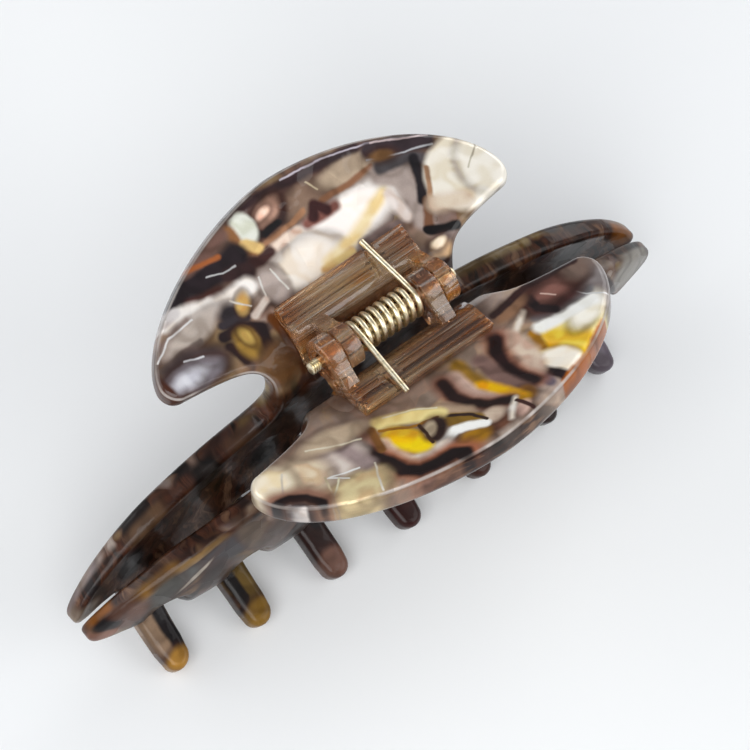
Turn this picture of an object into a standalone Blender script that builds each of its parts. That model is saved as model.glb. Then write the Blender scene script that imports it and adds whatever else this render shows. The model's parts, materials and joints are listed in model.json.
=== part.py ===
"""Large interlocking claw clip, modelled in metres with the hinge pin along X.

The clip is drawn closed, standing on the tips of its teeth at z = 0, with
+Y toward the rear half.  Shapes are drawn about the pin axis and every
piece is then raised by LIFT, so that its own origin lies on the axis.
"""
import math

import bmesh
import bpy
from mathutils import Matrix, Vector

MM = 0.001
LIFT = 44.21             # height of the pin axis when the clip stands on its teeth

# Sheet halves (millimetres)
SHEET = 3.8              # thickness of the bent sheet
RIM = 1.1                # rounding of the polished rim
JAW_HALF = 52.0          # half length of the jaws
NECK_HALF = 16.0         # half width of the neck
WING_HALF = 30.6         # half span of the thumb grips
WING_TOP = 25.7          # height of a grip above the neck, along the sheet
LOBE_S = 9.0             # level of the widest point of a grip
LOBE_LOW = 6.4           # lower edge of a grip
LOBE_LOW_X = 28.2
REAR_POWER = (1.62, 1.82) # roundness of the rear grip outline, left and right of its middle
FRONT_POWER = (1.75, 1.75)
BOW = 4.5                # how far the jaw ends curve in toward each other
BOW_POWER = 2.8
DROP = 3.1               # how far the jaw ends hang lower than the middle
END_THIN = 0.30          # share of thickness polished away at the jaw ends
PITCH = 13.5            # distance between neighbouring teeth of one half
SLOT_TOP = -18.4         # top of the arches between teeth, at the middle of the jaw
SLOT_RISE = 2.8          # height of an arch above its feet
REAR_SLOT_DROP = 6.5     # how much lower the outer arches of the rear half start
SLOT_HALF = 2.8
LAST_TOOTH_IN = 1.2      # the rear half's right-hand tooth stands nearer its neighbour
TIP_HALF = 2.0           # half width of a tooth at its tip
TIP_S = -42.6            # centre of the tip rounding of the middle teeth
TIP_SHORTER = 5.2        # how much shorter the outermost teeth are
END_LOW = -21.5          # lower edge of the jaw ends

# Middle cross-section of the rear half, from the grip's edge down to a tooth tip
PROFILE = (
    (25.9, 2.8), (22.0, 0.8), (18.05, -0.9), (14.1, -2.2), (10.2, -3.15),
    (7.8, -3.7), (6.0, -4.6), (4.7, -6.2), (4.1, -8.4), (4.1, -11.0),
    (4.7, -14.5), (5.5, -18.0), (6.1, -22.0), (6.2, -26.0), (5.9, -29.0),
    (4.6, -32.5), (1.9, -35.9), (-2.2, -38.6), (-10.0, -41.9), (-13.5, -43.4),
)
PROFILE_ZERO = 8         # index of the point where the sheet coordinate is zero

# Upper edge of a jaw, from the neck to the end (x, sheet coordinate)
JAW_TOP = (
    (16.0, -2.6), (16.35, -4.6), (17.6, -6.0), (20.0, -6.9), (26.0, -7.9),
    (32.0, -8.9), (36.5, -9.7), (40.0, -10.7), (43.8, -12.2), (47.2, -13.9),
    (49.6, -15.7), (51.3, -17.5), (52.0, -19.0), (51.4, -20.5), (49.6, -21.3),
)

# Hinge (millimetres)
PIN_R = 0.85
PIN_LEFT = -13.1
PIN_RIGHT = 12.5
KNURL_R = 0.95
KNURL_LEN = 1.6
EYE_R = 3.2
BORE_R = 1.15
LEAF_HALF = 11.2
EAR_OUTER = (8.75, 11.1)
EAR_INNER = (-8.4, -5.9)
LEG_X = 5.05
LEG_NOTCH = 0.9

# Cross-section of a leaf's glued block (y, z)
LEAF_BLOCK = (
    (10.0, -0.9), (10.0, 0.95), (5.7, 0.05), (4.1, -1.3), (3.3, -2.9),
    (2.95, -4.9), (3.5, -4.35), (4.3, -3.25), (5.4, -2.35), (7.8, -1.4),
)
# Outline of an ear between block and eye (y, z)
EAR_ARM = ((0.7, 2.85), (6.4, -0.4), (6.6, -1.3), (5.2, -2.0), (4.1, -2.95), (3.4, -3.9), (0.5, -2.85))

# Spring (millimetres)
WIRE_R = 0.42
COIL_R = 2.2
COIL_TURNS = 8
STEPS_PER_TURN = 14
LEG_END_Y = 11.0
LEG_END_Z = 0.9


def clear_scene():
    for obj in list(bpy.data.objects):
        bpy.data.objects.remove(obj, do_unlink=True)


def new_collection(name):
    coll = bpy.data.collections.new(name)
    bpy.context.scene.collection.children.link(coll)
    return coll


def outward(bm):
    """Consistent face normals that point out of the solid."""
    bmesh.ops.recalc_face_normals(bm, faces=bm.faces[:])
    if bm.calc_volume(signed=True) < 0.0:
        bmesh.ops.reverse_faces(bm, faces=bm.faces[:])


def material(name, color, metallic, roughness):
    mat = bpy.data.materials.new(name)
    mat.use_nodes = True
    bsdf = mat.node_tree.nodes["Principled BSDF"]
    bsdf.inputs["Base Color"].default_value = (*color, 1.0)
    bsdf.inputs["Metallic"].default_value = metallic
    bsdf.inputs["Roughness"].default_value = roughness
    return mat


def smoothstep(value):
    t = min(max(value, 0.0), 1.0)
    return t * t * (3.0 - 2.0 * t)


def profile_stations():
    """Sheet coordinate of every profile point, zero at the narrowest place."""
    runs = [0.0]
    for a, b in zip(PROFILE[:-1], PROFILE[1:]):
        runs.append(runs[-1] - math.dist(a, b))
    zero = runs[PROFILE_ZERO]
    return [run - zero for run in runs]


STATIONS = profile_stations()


def profile_at(s):
    """Point and unit normal (toward the pin side) of the middle section."""
    last = len(PROFILE) - 1
    i = 0
    while i < last - 1 and s < STATIONS[i + 1]:
        i += 1
    p1, p2 = PROFILE[i], PROFILE[i + 1]
    p0 = PROFILE[max(i - 1, 0)]
    p3 = PROFILE[min(i + 2, last)]
    s0, s1, s2 = STATIONS[max(i - 1, 0)], STATIONS[i], STATIONS[i + 1]
    s3 = STATIONS[min(i + 2, last)]
    span = s2 - s1
    t = (s - s1) / span
    point = []
    slope = []
    for k in (0, 1):
        m1 = (p2[k] - p0[k]) / (s2 - s0) * span
        m2 = (p3[k] - p1[k]) / (s3 - s1) * span
        a = 2 * p1[k] - 2 * p2[k] + m1 + m2
        b = -3 * p1[k] + 3 * p2[k] - 2 * m1 - m2
        point.append(a * t ** 3 + b * t ** 2 + m1 * t + p1[k])
        slope.append((3 * a * t ** 2 + 2 * b * t + m1) / span)
    size = math.hypot(*slope)
    return point, (-slope[1] / size, slope[0] / size)


def bend(x, s, w):
    """Flat sheet position (x, s, height w toward the pin side) to the bent shape."""
    (y, z), (ny, nz) = profile_at(s)
    jaw = smoothstep(-s / 10.0)
    a = abs(x) / JAW_HALF
    y -= jaw * BOW * a ** BOW_POWER
    z -= jaw * DROP * a ** 2
    w *= 1.0 - jaw * END_THIN * smoothstep((abs(x) - 36.0) / 18.0)
    return Vector((x, y + w * ny, z + w * nz)) * MM


def wing_outline(power, steps):
    """One side of a grip, from its top middle to the neck."""
    pts = []
    for i in range(steps + 1):
        f = 0.5 * math.pi * i / steps
        x = WING_HALF * math.sin(f) ** (2.0 / power)
        rise = max(math.cos(f), 0.0) ** (2.0 / power)
        pts.append((x, LOBE_S + (WING_TOP - LOBE_S) * rise))
    low = max(steps // 3, 3)
    for i in range(1, low + 1):
        f = 0.5 * math.pi * i / low
        x = LOBE_LOW_X + (WING_HALF - LOBE_LOW_X) * math.cos(f)
        pts.append((x, LOBE_S - (LOBE_S - LOBE_LOW) * math.sin(f)))
    pts.append((23.0, 5.75))
    pts.append((19.4, 5.0))
    pts.append((17.6, 4.2))
    pts.append((16.5, 3.0))
    pts.append((NECK_HALF, 1.2))
    return pts


def tooth_half_width(s):
    """Half width of a tooth at sheet coordinate s."""
    marks = ((-20.2, 3.98), (-22.0, 3.3), (-25.0, 2.75), (-30.0, 2.45), (-37.0, 2.2), (-60.0, 2.0))
    for (s1, w1), (s2, w2) in zip(marks[:-1], marks[1:]):
        if s >= s2:
            return w1 + (w2 - w1) * (s1 - s) / (s1 - s2)
    return TIP_HALF


def tip_level(x):
    return TIP_S + TIP_SHORTER * (abs(x) / (3 * PITCH)) ** 2.5


def tooth_outline(centre, top_right, top_left, arc):
    """Down the right side of a tooth, round its tip and up the left side."""
    tip = tip_level(centre)
    levels = (-22.0, -25.0, -30.0, tip + 2.5)
    pts = [(centre + tooth_half_width(s), s) for s in levels if s < top_right - 1.5]
    for i in range(arc + 1):
        f = math.pi * i / arc
        pts.append((centre + TIP_HALF * math.cos(f), tip - TIP_HALF * math.sin(f)))
    pts += [(centre - tooth_half_width(s), s) for s in reversed(levels) if s < top_left - 1.5]
    return pts


def arch_foot(x, drop):
    """Level of the feet of the arch at x."""
    return SLOT_TOP - SLOT_RISE - drop * min(abs(x) / (1.5 * PITCH), 1.0)


def arch_outline(right, left, foot, arc):
    """Arch between two teeth, from its right foot over the top to its left foot."""
    centre = 0.5 * (right + left)
    half = 0.5 * (right - left)
    pts = []
    for i in range(arc + 1):
        f = math.pi * i / arc
        pts.append((centre + half * math.cos(f), foot + SLOT_RISE * math.sin(f)))
    return pts


def half_outline(teeth, end_arches, power, drop, steps, arc):
    """Closed flat outline of one half; teeth lists the tooth positions from left to right."""
    foot = arch_foot(3 * PITCH, drop)
    edge = tooth_half_width(foot)
    outer = 3 * PITCH + SLOT_HALF
    low = []
    if end_arches:
        ends = [(outer + 1.6, END_LOW - 0.1)]
        low += arch_outline(outer, teeth[-1] + edge, foot, arc)
    else:
        ends = [(3 * PITCH + 6.5, END_LOW - 0.1), (3 * PITCH + 4.0, END_LOW - 0.6)]
    for i in range(len(teeth) - 1, -1, -1):
        gap = 0.5 * PITCH
        top_right = arch_foot(teeth[i] + gap, drop) if i < len(teeth) - 1 or end_arches else END_LOW
        top_left = arch_foot(teeth[i] - gap, drop) if i > 0 or end_arches else END_LOW
        low += tooth_outline(teeth[i], top_right, top_left, arc)
        if i > 0:
            wide = tooth_half_width(top_left)
            low += arch_outline(teeth[i] - wide, teeth[i - 1] + wide, top_left, arc)
    if end_arches:
        low += arch_outline(teeth[0] - edge, -outer, foot, arc)
    right = wing_outline(power[1], steps) + list(JAW_TOP) + ends
    left = [(-x, s) for x, s in wing_outline(power[0], steps) + list(JAW_TOP) + ends]
    return right + low + left[:0:-1]


def flat_solid(name, outline, thickness, rim, rim_steps):
    """Plate with a rounded rim, drawn flat in XY, as mesh data."""
    curve = bpy.data.curves.new(name, "CURVE")
    curve.dimensions = "2D"
    curve.fill_mode = "BOTH"
    curve.extrude = 0.5 * thickness - rim
    curve.bevel_depth = rim
    curve.bevel_resolution = rim_steps
    curve.offset = -rim
    spline = curve.splines.new("POLY")
    spline.points.add(len(outline) - 1)
    for point, (x, s) in zip(spline.points, outline):
        point.co = (x, s, 0.0, 1.0)
    spline.use_cyclic_u = True
    temp = bpy.data.objects.new(name + "_flat", curve)
    bpy.context.scene.collection.objects.link(temp)
    graph = bpy.context.evaluated_depsgraph_get()
    mesh = bpy.data.meshes.new_from_object(temp.evaluated_get(graph))
    bpy.data.objects.remove(temp, do_unlink=True)
    return mesh


def sheet_half(name, coll, mat, teeth, power, drop, turned):
    outline = half_outline(teeth, turned, power, drop, 10, 4)
    mesh = flat_solid(name, outline, SHEET, RIM, 0)
    bm = bmesh.new()
    bm.from_mesh(mesh)
    bmesh.ops.remove_doubles(bm, verts=bm.verts, dist=0.02)
    for s in (21.0, 16.5, 12.5, 9.0, 6.8, 5.0, 3.4, 1.8, 0.0, -3.0, -7.0, -11.0, -15.0, -24.0, -28.0, -33.0):
        geom = bm.verts[:] + bm.edges[:] + bm.faces[:]
        bmesh.ops.bisect_plane(bm, geom=geom, dist=1e-4, plane_co=(0, s, 0), plane_no=(0, 1, 0))
    for x in (-50, -44, -37, -29, -20, 20, 29, 37, 44, 50):
        geom = bm.verts[:] + bm.edges[:] + bm.faces[:]
        bmesh.ops.bisect_plane(bm, geom=geom, dist=1e-4, plane_co=(x, 0, 0), plane_no=(1, 0, 0))
    bmesh.ops.triangulate(bm, faces=bm.faces[:])
    for vert in bm.verts:
        vert.co = bend(vert.co.x, vert.co.y, vert.co.z)
        if turned:
            vert.co.x = -vert.co.x
            vert.co.y = -vert.co.y
    outward(bm)
    bm.to_mesh(mesh)
    bm.free()
    return add_object(name, mesh, coll, mat)


def add_object(name, mesh, coll, mat):
    mesh.name = name
    mesh.materials.clear()
    mesh.materials.append(mat)
    obj = bpy.data.objects.new(name, mesh)
    coll.objects.link(obj)
    return obj


def prism(name, outline, x1, x2):
    """Solid with the given (y, z) outline between two x positions."""
    bm = bmesh.new()
    ring = [bm.verts.new(Vector((x1, y, z)) * MM) for y, z in outline]
    face = bm.faces.new(ring)
    moved = bmesh.ops.extrude_face_region(bm, geom=[face])
    verts = [v for v in moved["geom"] if isinstance(v, bmesh.types.BMVert)]
    bmesh.ops.translate(bm, verts=verts, vec=Vector(((x2 - x1) * MM, 0, 0)))
    outward(bm)
    mesh = bpy.data.meshes.new(name)
    bm.to_mesh(mesh)
    bm.free()
    return bpy.data.objects.new(name, mesh)


def cylinder_x(name, radius, x1, x2, sides):
    outline = []
    for i in range(sides):
        f = 2 * math.pi * i / sides
        outline.append((radius * math.cos(f), radius * math.sin(f)))
    return prism(name, outline, x1, x2)


def combine(target, tools, operation, cutters):
    """Apply EXACT booleans from the tools, which are kept in the cutters collection."""
    for tool in tools:
        cutters.objects.link(tool)
        tool.hide_render = True
        tool.display_type = "WIRE"
        mod = target.modifiers.new(tool.name, "BOOLEAN")
        mod.operation = operation
        mod.solver = "EXACT"
        mod.object = tool


def bake(obj):
    graph = bpy.context.evaluated_depsgraph_get()
    mesh = bpy.data.meshes.new_from_object(obj.evaluated_get(graph))
    obj.modifiers.clear()
    obj.data = mesh


def hinge_leaf(name, coll, cutters, mat, turned):
    """Glued block with two ears; the second leaf is the same part turned round."""
    leaf = prism(name, LEAF_BLOCK, -LEAF_HALF, LEAF_HALF)
    leaf.data.materials.append(mat)
    coll.objects.link(leaf)
    ears = []
    for label, (x1, x2) in (("outer", EAR_OUTER), ("inner", EAR_INNER)):
        ears.append(cylinder_x(name + "_eye_" + label, EYE_R, x1, x2, 20))
        ears.append(prism(name + "_arm_" + label, EAR_ARM, x1 + 0.06, x2 - 0.06))
    combine(leaf, ears, "UNION", cutters)
    cuts = [
        cylinder_x(name + "_bore", BORE_R, -15.0, 15.0, 16),
        prism(name + "_notch", ((3.4, -0.3), (3.4, 4.0), (12.0, 4.0), (12.0, 0.35)),
              LEG_X - LEG_NOTCH, LEG_X + LEG_NOTCH),
    ]
    combine(leaf, cuts, "DIFFERENCE", cutters)
    bake(leaf)
    if turned:
        leaf.data.transform(Matrix.Rotation(math.pi, 4, "Z"))
    return leaf


def hinge_pin(coll, mat):
    sides = 16
    rings = (
        (PIN_LEFT, KNURL_R - 0.25), (PIN_LEFT + 0.25, KNURL_R), (PIN_LEFT + KNURL_LEN, KNURL_R),
        (PIN_LEFT + KNURL_LEN, PIN_R), (PIN_RIGHT - 0.25, PIN_R), (PIN_RIGHT, PIN_R - 0.25),
    )
    bm = bmesh.new()
    loops = []
    for x, r in rings:
        loop = []
        for i in range(sides):
            f = 2 * math.pi * i / sides
            loop.append(bm.verts.new(Vector((x, r * math.cos(f), r * math.sin(f))) * MM))
        loops.append(loop)
    for a, b in zip(loops[:-1], loops[1:]):
        for i in range(sides):
            j = (i + 1) % sides
            bm.faces.new((a[i], a[j], b[j], b[i]))
    bm.faces.new(loops[0])
    bm.faces.new(loops[-1])
    outward(bm)
    mesh = bpy.data.meshes.new("hinge_pin")
    bm.to_mesh(mesh)
    bm.free()
    return add_object("hinge_pin", mesh, coll, mat)


def spring_path():
    """Centre line of the wire: rear leg, coil, front leg."""
    pts = [(LEG_X, LEG_END_Y, LEG_END_Z), (LEG_X, 5.0, 0.5 * (LEG_END_Z + COIL_R) + 0.05)]
    count = COIL_TURNS * STEPS_PER_TURN
    for i in range(count + 1):
        f = 0.5 * math.pi + 2 * math.pi * i / STEPS_PER_TURN
        x = LEG_X - 2 * LEG_X * i / count
        pts.append((x, COIL_R * math.cos(f), COIL_R * math.sin(f)))
    pts.append((-LEG_X, -5.0, 0.5 * (LEG_END_Z + COIL_R) + 0.05))
    pts.append((-LEG_X, -LEG_END_Y, LEG_END_Z))
    return pts


def torsion_spring(coll, mat):
    curve = bpy.data.curves.new("torsion_spring", "CURVE")
    curve.dimensions = "3D"
    curve.bevel_depth = WIRE_R * MM
    curve.bevel_resolution = 2
    curve.use_fill_caps = True
    pts = spring_path()
    spline = curve.splines.new("POLY")
    spline.points.add(len(pts) - 1)
    for point, (x, y, z) in zip(spline.points, pts):
        point.co = (x * MM, y * MM, z * MM, 1.0)
    temp = bpy.data.objects.new("spring_curve", curve)
    bpy.context.scene.collection.objects.link(temp)
    graph = bpy.context.evaluated_depsgraph_get()
    mesh = bpy.data.meshes.new_from_object(temp.evaluated_get(graph))
    bpy.data.objects.remove(temp, do_unlink=True)
    bm = bmesh.new()
    bm.from_mesh(mesh)
    bmesh.ops.remove_doubles(bm, verts=bm.verts, dist=1e-6)
    outward(bm)
    bm.to_mesh(mesh)
    bm.free()
    return add_object("torsion_spring", mesh, coll, mat)


def build():
    clear_scene()
    coll = new_collection("claw_clip")
    cutters = new_collection("cutters")
    acetate_rear = material("rear_acetate", (0.42, 0.33, 0.27), 0.0, 0.12)
    acetate_front = material("front_acetate", (0.46, 0.36, 0.28), 0.0, 0.12)
    amber_rear = material("rear_amber", (0.55, 0.33, 0.16), 0.0, 0.15)
    amber_front = material("front_amber", (0.52, 0.31, 0.16), 0.0, 0.15)
    gold_pin = material("pin_gold", (0.80, 0.68, 0.42), 1.0, 0.25)
    gold_wire = material("wire_gold", (0.83, 0.72, 0.46), 1.0, 0.22)

    whole = [i * PITCH for i in range(-3, 4)]
    teeth = whole[:-1] + [whole[-1] - LAST_TOOTH_IN]
    between = [(i + 0.5) * PITCH for i in range(-3, 3)]
    sheet_half("rear_claw_half", coll, acetate_rear, teeth, REAR_POWER, REAR_SLOT_DROP, False)
    sheet_half("front_claw_half", coll, acetate_front, between, FRONT_POWER, 0.0, True)
    hinge_leaf("rear_hinge_leaf", coll, cutters, amber_rear, False)
    hinge_leaf("front_hinge_leaf", coll, cutters, amber_front, True)
    hinge_pin(coll, gold_pin)
    torsion_spring(coll, gold_wire)
    for obj in list(coll.objects) + list(cutters.objects):
        obj.location.z = LIFT * MM


build()
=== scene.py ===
"""Looks of the large marbled claw clip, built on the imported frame."""
import json
import math

import bmesh
import bpy
from mathutils import Matrix, Vector


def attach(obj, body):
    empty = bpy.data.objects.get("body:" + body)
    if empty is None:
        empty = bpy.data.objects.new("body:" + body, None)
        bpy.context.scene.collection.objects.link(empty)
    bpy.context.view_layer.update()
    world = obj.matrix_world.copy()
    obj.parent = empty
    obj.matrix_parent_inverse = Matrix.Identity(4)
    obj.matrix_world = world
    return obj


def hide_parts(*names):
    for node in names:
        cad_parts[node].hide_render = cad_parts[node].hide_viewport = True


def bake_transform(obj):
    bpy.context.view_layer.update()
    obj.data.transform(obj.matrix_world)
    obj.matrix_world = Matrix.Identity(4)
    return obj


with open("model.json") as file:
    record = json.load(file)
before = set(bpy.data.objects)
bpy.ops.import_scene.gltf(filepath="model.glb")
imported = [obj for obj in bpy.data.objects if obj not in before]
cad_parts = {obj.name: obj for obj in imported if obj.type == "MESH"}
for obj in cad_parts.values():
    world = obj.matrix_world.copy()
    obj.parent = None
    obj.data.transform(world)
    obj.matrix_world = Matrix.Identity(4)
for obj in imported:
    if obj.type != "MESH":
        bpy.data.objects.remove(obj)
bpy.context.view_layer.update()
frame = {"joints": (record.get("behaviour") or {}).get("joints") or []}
BODY_REAR, BODY_FRONT = "rear", "front"
AXIS = Vector(frame["joints"][0]["pos_m"])
MM = 0.001

# ---------------------------------------------------------------- sheet shape
SHEET = 3.8                 # thickness of the sheet, mm; every size below is in mm
RIM = 1.1                   # rounding of its edges
JAW_HALF = 52.0             # half length of a jaw
NECK_HALF = 16.0            # half width of the neck under a grip
WING_HALF = 30.6            # half width of a grip
WING_TOP = 25.7             # height of a grip above the neck, along the sheet
LOBE_S = 9.0                # level where a grip is widest
LOBE_LOW = 6.4              # lowest point of a grip's ends
LOBE_LOW_X = 28.2           # where that point is
REAR_POWER = (1.62, 1.82)   # roundness of the rear grip, left and right of its middle
FRONT_POWER = (1.75, 1.75)  # roundness of the front grip
BOW = 4.5                   # how far the jaws' ends bow inwards
BOW_POWER = 2.8             # how late that bow sets in
DROP = 3.1                  # how far the jaws' ends hang down
END_THIN = 0.30             # share of the thickness lost at the jaws' ends
PITCH = 13.5                # distance between teeth
SLOT_TOP = -18.4            # top of the arch between two teeth
SLOT_RISE = 2.8             # height of that arch
REAR_SLOT_DROP = 6.5        # how much lower the rear half's outer arches are
SLOT_HALF = 2.8             # half width of the arch past the last tooth
LAST_TOOTH_IN = 1.2         # the rear half's right-hand tooth stands nearer its neighbour
TIP_HALF = 2.0              # half width of a tooth at its tip
TIP_S = -42.6               # centre of the tip rounding of the middle teeth
TIP_SHORTER = 5.2           # how much shorter the outermost teeth are
END_LOW = -21.5             # lower edge of the jaws' ends
# the bend of a half seen from its end: (y, z) from the pin, top to tip
PROFILE = (
    (25.9, 2.8), (22.0, 0.8), (18.05, -0.9), (14.1, -2.2), (10.2, -3.15),
    (7.8, -3.7), (6.0, -4.6), (4.7, -6.2), (4.1, -8.4), (4.1, -11.0),
    (4.7, -14.5), (5.5, -18.0), (6.1, -22.0), (6.2, -26.0), (5.9, -29.0),
    (4.6, -32.5), (1.9, -35.9), (-2.2, -38.6), (-10.0, -41.9), (-13.5, -43.4),
)
PROFILE_ZERO = 8            # the point of the profile where s is 0
NECK_RUN = 10.0             # the jaws' shape sets in over this much below the neck
THIN_FROM, THIN_RUN = 36.0, 18.0  # the jaws' ends thin out from here, over this much
# the mesh: level of the first cut across a half, step and number of these cuts,
# places of the cuts along its length, and points round grips, arches and rims
CUT_TOP, CUT_STEP, CUT_COUNT = 25.0, 1.1, 63
LENGTH_CUTS = range(-50, 51, 2)
WING_STEPS, ARC_STEPS, RIM_STEPS = 44, 12, 5
PATH_STEPS = 5
# upper edge and end of a jaw: (x, s)
JAW_TOP = (
    (16.0, -2.6), (16.35, -4.6), (17.6, -6.0), (20.0, -6.9), (26.0, -7.9),
    (32.0, -8.9), (36.5, -9.7), (40.0, -10.7), (43.8, -12.2), (47.2, -13.9),
    (49.6, -15.7), (51.3, -17.5), (52.0, -19.0), (51.4, -20.5), (49.6, -21.3),
)


def smoothstep(value):
    """0 to 1 with soft ends."""
    t = min(max(value, 0.0), 1.0)
    return t * t * (3.0 - 2.0 * t)


def profile_stations():
    """Distance along the profile at each of its points, 0 at the neck."""
    runs = [0.0]
    for a, b in zip(PROFILE[:-1], PROFILE[1:]):
        runs.append(runs[-1] - math.dist(a, b))
    zero = runs[PROFILE_ZERO]
    return [run - zero for run in runs]


STATIONS = profile_stations()


def profile_at(s):
    """Point (y, z) and unit normal of the profile at distance s."""
    last = len(PROFILE) - 1
    i = 0
    while i < last - 1 and s < STATIONS[i + 1]:
        i += 1
    p1, p2 = PROFILE[i], PROFILE[i + 1]
    p0 = PROFILE[max(i - 1, 0)]
    p3 = PROFILE[min(i + 2, last)]
    s0, s1, s2 = STATIONS[max(i - 1, 0)], STATIONS[i], STATIONS[i + 1]
    s3 = STATIONS[min(i + 2, last)]
    span = s2 - s1
    t = (s - s1) / span
    point = []
    slope = []
    for k in (0, 1):
        m1 = (p2[k] - p0[k]) / (s2 - s0) * span
        m2 = (p3[k] - p1[k]) / (s3 - s1) * span
        a = 2 * p1[k] - 2 * p2[k] + m1 + m2
        b = -3 * p1[k] + 3 * p2[k] - 2 * m1 - m2
        point.append(a * t ** 3 + b * t ** 2 + m1 * t + p1[k])
        slope.append((3 * a * t ** 2 + 2 * b * t + m1) / span)
    size = math.hypot(*slope)
    return point, (-slope[1] / size, slope[0] / size)


def bend(x, s, w):
    """Place of a sheet point: x along, s up the sheet, w through it."""
    (y, z), (ny, nz) = profile_at(s)
    jaw = smoothstep(-s / NECK_RUN)
    a = abs(x) / JAW_HALF
    y -= jaw * BOW * a ** BOW_POWER
    z -= jaw * DROP * a ** 2
    w *= 1.0 - jaw * END_THIN * smoothstep((abs(x) - THIN_FROM) / THIN_RUN)
    return Vector((x, y + w * ny, z + w * nz)) * MM


def smooth_path(points, parts):
    """Catmull-Rom points through the given ones."""
    out = []
    n = len(points)
    for i in range(n - 1):
        p0 = points[max(i - 1, 0)]
        p1, p2 = points[i], points[i + 1]
        p3 = points[min(i + 2, n - 1)]
        for j in range(parts):
            t = j / parts
            out.append(tuple(
                0.5 * (2 * b + (c - a) * t + (2 * a - 5 * b + 4 * c - d) * t * t
                       + (3 * b - a - 3 * c + d) * t ** 3)
                for a, b, c, d in zip(p0, p1, p2, p3)))
    out.append(points[-1])
    return out


def wing_outline(power, steps):
    """Half outline of a grip, from its top to the neck."""
    pts = []
    for i in range(steps + 1):
        f = 0.5 * math.pi * i / steps
        x = WING_HALF * math.sin(f) ** (2.0 / power)
        rise = max(math.cos(f), 0.0) ** (2.0 / power)
        pts.append((x, LOBE_S + (WING_TOP - LOBE_S) * rise))
    low = steps // 3
    for i in range(1, low + 1):
        f = 0.5 * math.pi * i / low
        x = LOBE_LOW_X + (WING_HALF - LOBE_LOW_X) * math.cos(f)
        pts.append((x, LOBE_S - (LOBE_S - LOBE_LOW) * math.sin(f)))
    neck = [(LOBE_LOW_X, LOBE_LOW), (23.0, 5.75), (19.4, 5.0), (17.6, 4.2), (16.5, 3.0), (NECK_HALF, 1.2)]
    neck += JAW_TOP[:1]
    pts += smooth_path(neck, PATH_STEPS)[1:-1]
    return pts


def jaw_top():
    """Upper edge of a jaw, smoothed, from the neck to the end."""
    return [(min(x, JAW_HALF), s) for x, s in smooth_path(list(JAW_TOP), PATH_STEPS)]


def tooth_half_width(s):
    """Half width of a tooth, wide at its root."""
    marks = ((-20.2, 3.98), (-22.0, 3.3), (-25.0, 2.75), (-30.0, 2.45), (-37.0, 2.2), (-60.0, 2.0))
    for (s1, w1), (s2, w2) in zip(marks[:-1], marks[1:]):
        if s >= s2:
            return w1 + (w2 - w1) * (s1 - s) / (s1 - s2)
    return TIP_HALF


def tip_level(x):
    """Teeth get shorter towards the ends."""
    return TIP_S + TIP_SHORTER * (abs(x) / (3 * PITCH)) ** 2.5


def tooth_outline(centre, top_right, top_left, arc):
    """One tooth, down its right side, round the tip and up its left side."""
    tip = tip_level(centre)
    levels = [-22.0 - 0.9 * i for i in range(30) if -22.0 - 0.9 * i > tip + 1.2]
    pts = [(centre + tooth_half_width(s), s) for s in levels if s < top_right - 0.8]
    for i in range(arc + 1):
        f = math.pi * i / arc
        pts.append((centre + TIP_HALF * math.cos(f), tip - TIP_HALF * math.sin(f)))
    pts += [(centre - tooth_half_width(s), s) for s in reversed(levels) if s < top_left - 0.8]
    return pts


def arch_foot(x, drop):
    """Where the arch between two teeth starts; outer arches can be lower."""
    return SLOT_TOP - SLOT_RISE - drop * min(abs(x) / (1.5 * PITCH), 1.0)


def arch_outline(right, left, foot, arc):
    """The arch between two teeth, from right to left."""
    centre = 0.5 * (right + left)
    half = 0.5 * (right - left)
    pts = []
    for i in range(arc + 1):
        f = math.pi * i / arc
        pts.append((centre + half * math.cos(f), foot + SLOT_RISE * math.sin(f)))
    return pts


def half_outline(teeth, end_arches, power, drop, steps, arc):
    """Closed flat outline of one half."""
    foot = arch_foot(3 * PITCH, drop)
    edge = tooth_half_width(foot)
    outer = 3 * PITCH + SLOT_HALF
    low = []
    if end_arches:
        ends = [(outer + 1.6, END_LOW - 0.1)]
        low += arch_outline(outer, teeth[-1] + edge, foot, arc)
    else:
        ends = [(3 * PITCH + 6.5, END_LOW - 0.1), (3 * PITCH + 4.0, END_LOW - 0.6)]
    for i in range(len(teeth) - 1, -1, -1):
        gap = 0.5 * PITCH
        top_right = arch_foot(teeth[i] + gap, drop) if i < len(teeth) - 1 or end_arches else END_LOW
        top_left = arch_foot(teeth[i] - gap, drop) if i > 0 or end_arches else END_LOW
        low += tooth_outline(teeth[i], top_right, top_left, arc)
        if i > 0:
            wide = tooth_half_width(top_left)
            low += arch_outline(teeth[i] - wide, teeth[i - 1] + wide, top_left, arc)
    if end_arches:
        low += arch_outline(teeth[0] - edge, -outer, foot, arc)
    right = wing_outline(power[1], steps) + jaw_top() + ends
    left = [(-x, s) for x, s in wing_outline(power[0], steps) + jaw_top() + ends]
    return right + low + left[:0:-1]


def added(name, data):
    """A new object in the scene."""
    obj = bpy.data.objects.new(name, data)
    bpy.context.scene.collection.objects.link(obj)
    return obj


def baked(obj):
    """An object's mesh as it stands, modifiers and curves worked out."""
    graph = bpy.context.evaluated_depsgraph_get()
    return bpy.data.meshes.new_from_object(obj.evaluated_get(graph))


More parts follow.
